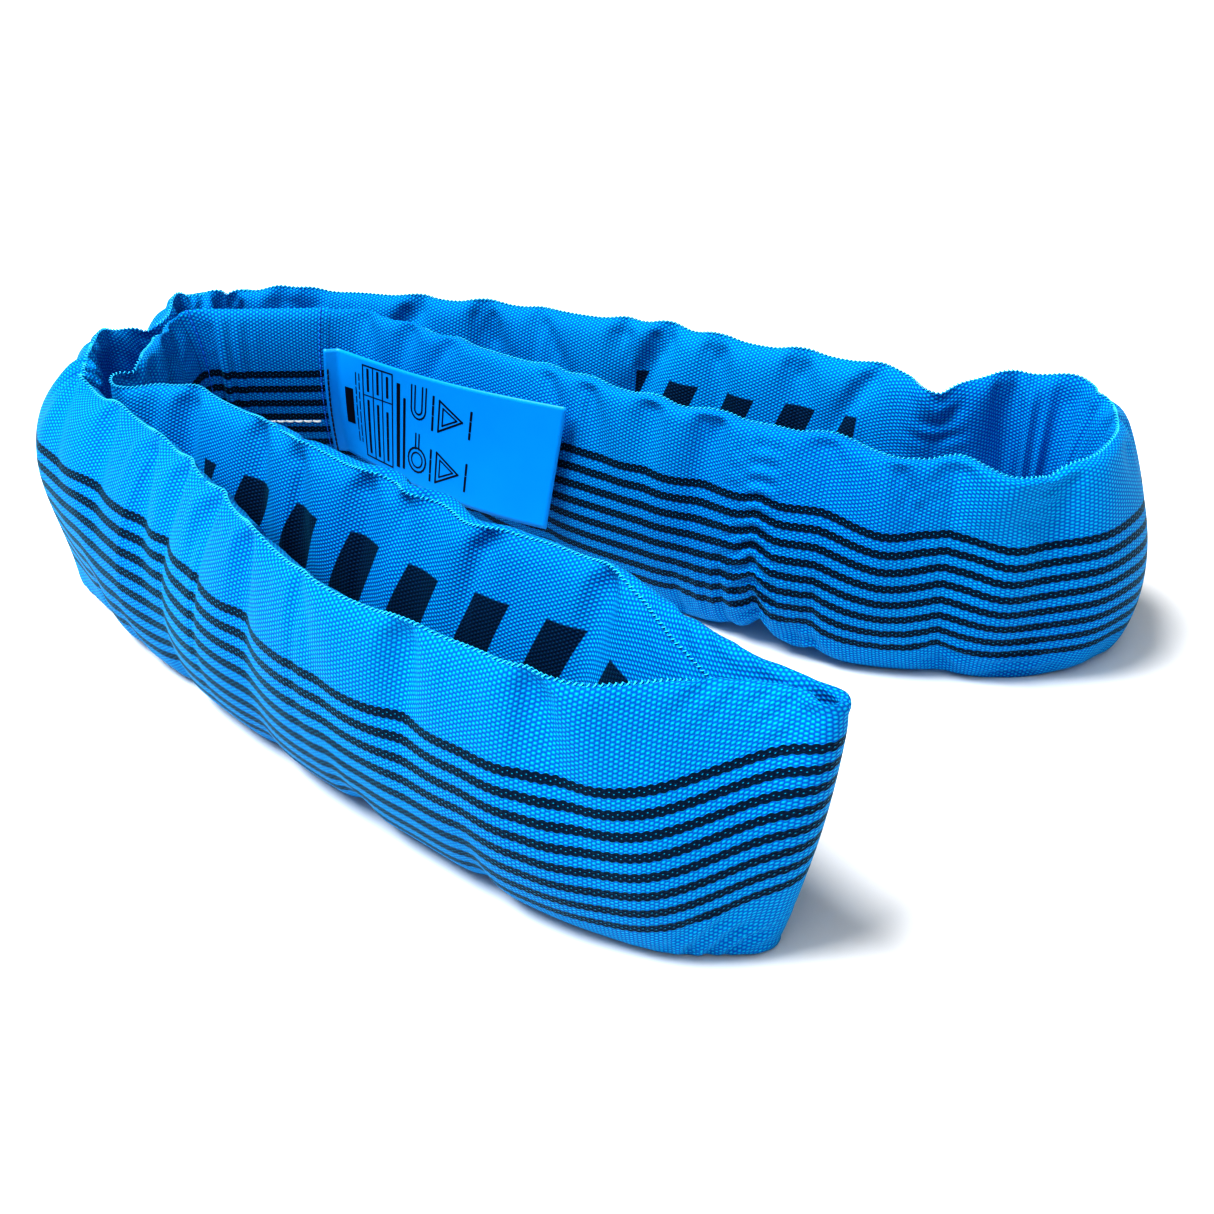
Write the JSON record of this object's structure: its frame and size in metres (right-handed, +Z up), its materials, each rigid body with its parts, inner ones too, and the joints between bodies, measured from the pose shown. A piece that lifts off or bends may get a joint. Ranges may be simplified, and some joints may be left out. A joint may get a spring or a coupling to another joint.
{
  "type": "endless round sling",
  "caption": "Endless round sling: a striped woven sleeve round a hank of yarns, on its edge, doubled and folded into a V.",
  "frame": {"origin": "bottom centre of the bounding box, on the floor that the sling stands on", "axes": "+X from the fold towards the two eyes, +Y from the front limb towards the rear limb, +Z up"},
  "size_m": [0.4944, 0.3486, 0.1104],
  "materials": {
    "sleeve": "woven polyester, ribbed, with black stripes",
    "cuff": "woven polyester, smooth double layer",
    "yarn": "bundled polyester filament, undyed",
    "edge_thread": "light blue locking thread",
    "seam_thread": "blue sewing thread",
    "join_thread": "twisted white thread",
    "tape": "cloth tape",
    "label": "smooth coated label stock, printed in black",
    "label_thread": "black sewing thread"
  },
  "bodies": {
    "rear_limb": {"sleeve_rear_outer": "sleeve", "core_yarns_rear_outer": "yarn", "edge_thread_rear_outer": "edge_thread", "sleeve_rear_inner": "sleeve", "core_yarns_rear_inner": "yarn", "edge_thread_rear_inner": "edge_thread", "join_cuff": "cuff", "join_seam_label_end": "seam_thread", "join_seam_fold_end": "seam_thread", "join_thread": "join_thread", "yarn_end_tie": "tape", "label_tail": "label", "label_stitches": "label_thread"},
    "front_limb": {"sleeve_front_outer": "sleeve", "core_yarns_front_outer": "yarn", "edge_thread_front_outer": "edge_thread", "sleeve_front_inner": "sleeve", "core_yarns_front_inner": "yarn", "edge_thread_front_inner": "edge_thread"},
    "front_eye": {"sleeve_front_eye": "sleeve", "core_yarns_front_eye": "yarn", "edge_thread_front_eye": "edge_thread"},
    "rear_eye": {"sleeve_rear_eye": "sleeve", "core_yarns_rear_eye": "yarn", "edge_thread_rear_eye": "edge_thread"},
    "label_flap": {"label_flap": "label"}
  },
  "joints": [
    {"name": "fold_hinge", "type": "hinge", "parent": "rear_limb", "child": "front_limb", "pos_m": [-0.161, -0.045, 0.055], "axis": [0, 0, 1], "range_deg": [-60, 10]},
    {"name": "front_eye_bend", "type": "hinge", "parent": "front_limb", "child": "front_eye", "pos_m": [0.011, -0.109, 0.055], "axis": [0, 0, 1], "range_deg": [-15, 8]},
    {"name": "rear_eye_bend", "type": "hinge", "parent": "rear_limb", "child": "rear_eye", "pos_m": [0.038, 0.102, 0.055], "axis": [0, 0, 1], "range_deg": [-8, 15]},
    {"name": "label_hinge", "type": "hinge", "parent": "rear_limb", "child": "label_flap", "pos_m": [-0.13043, 0.06271, 0.061], "axis": [0, 0, -1], "range_deg": [-2, 22]}
  ]
}
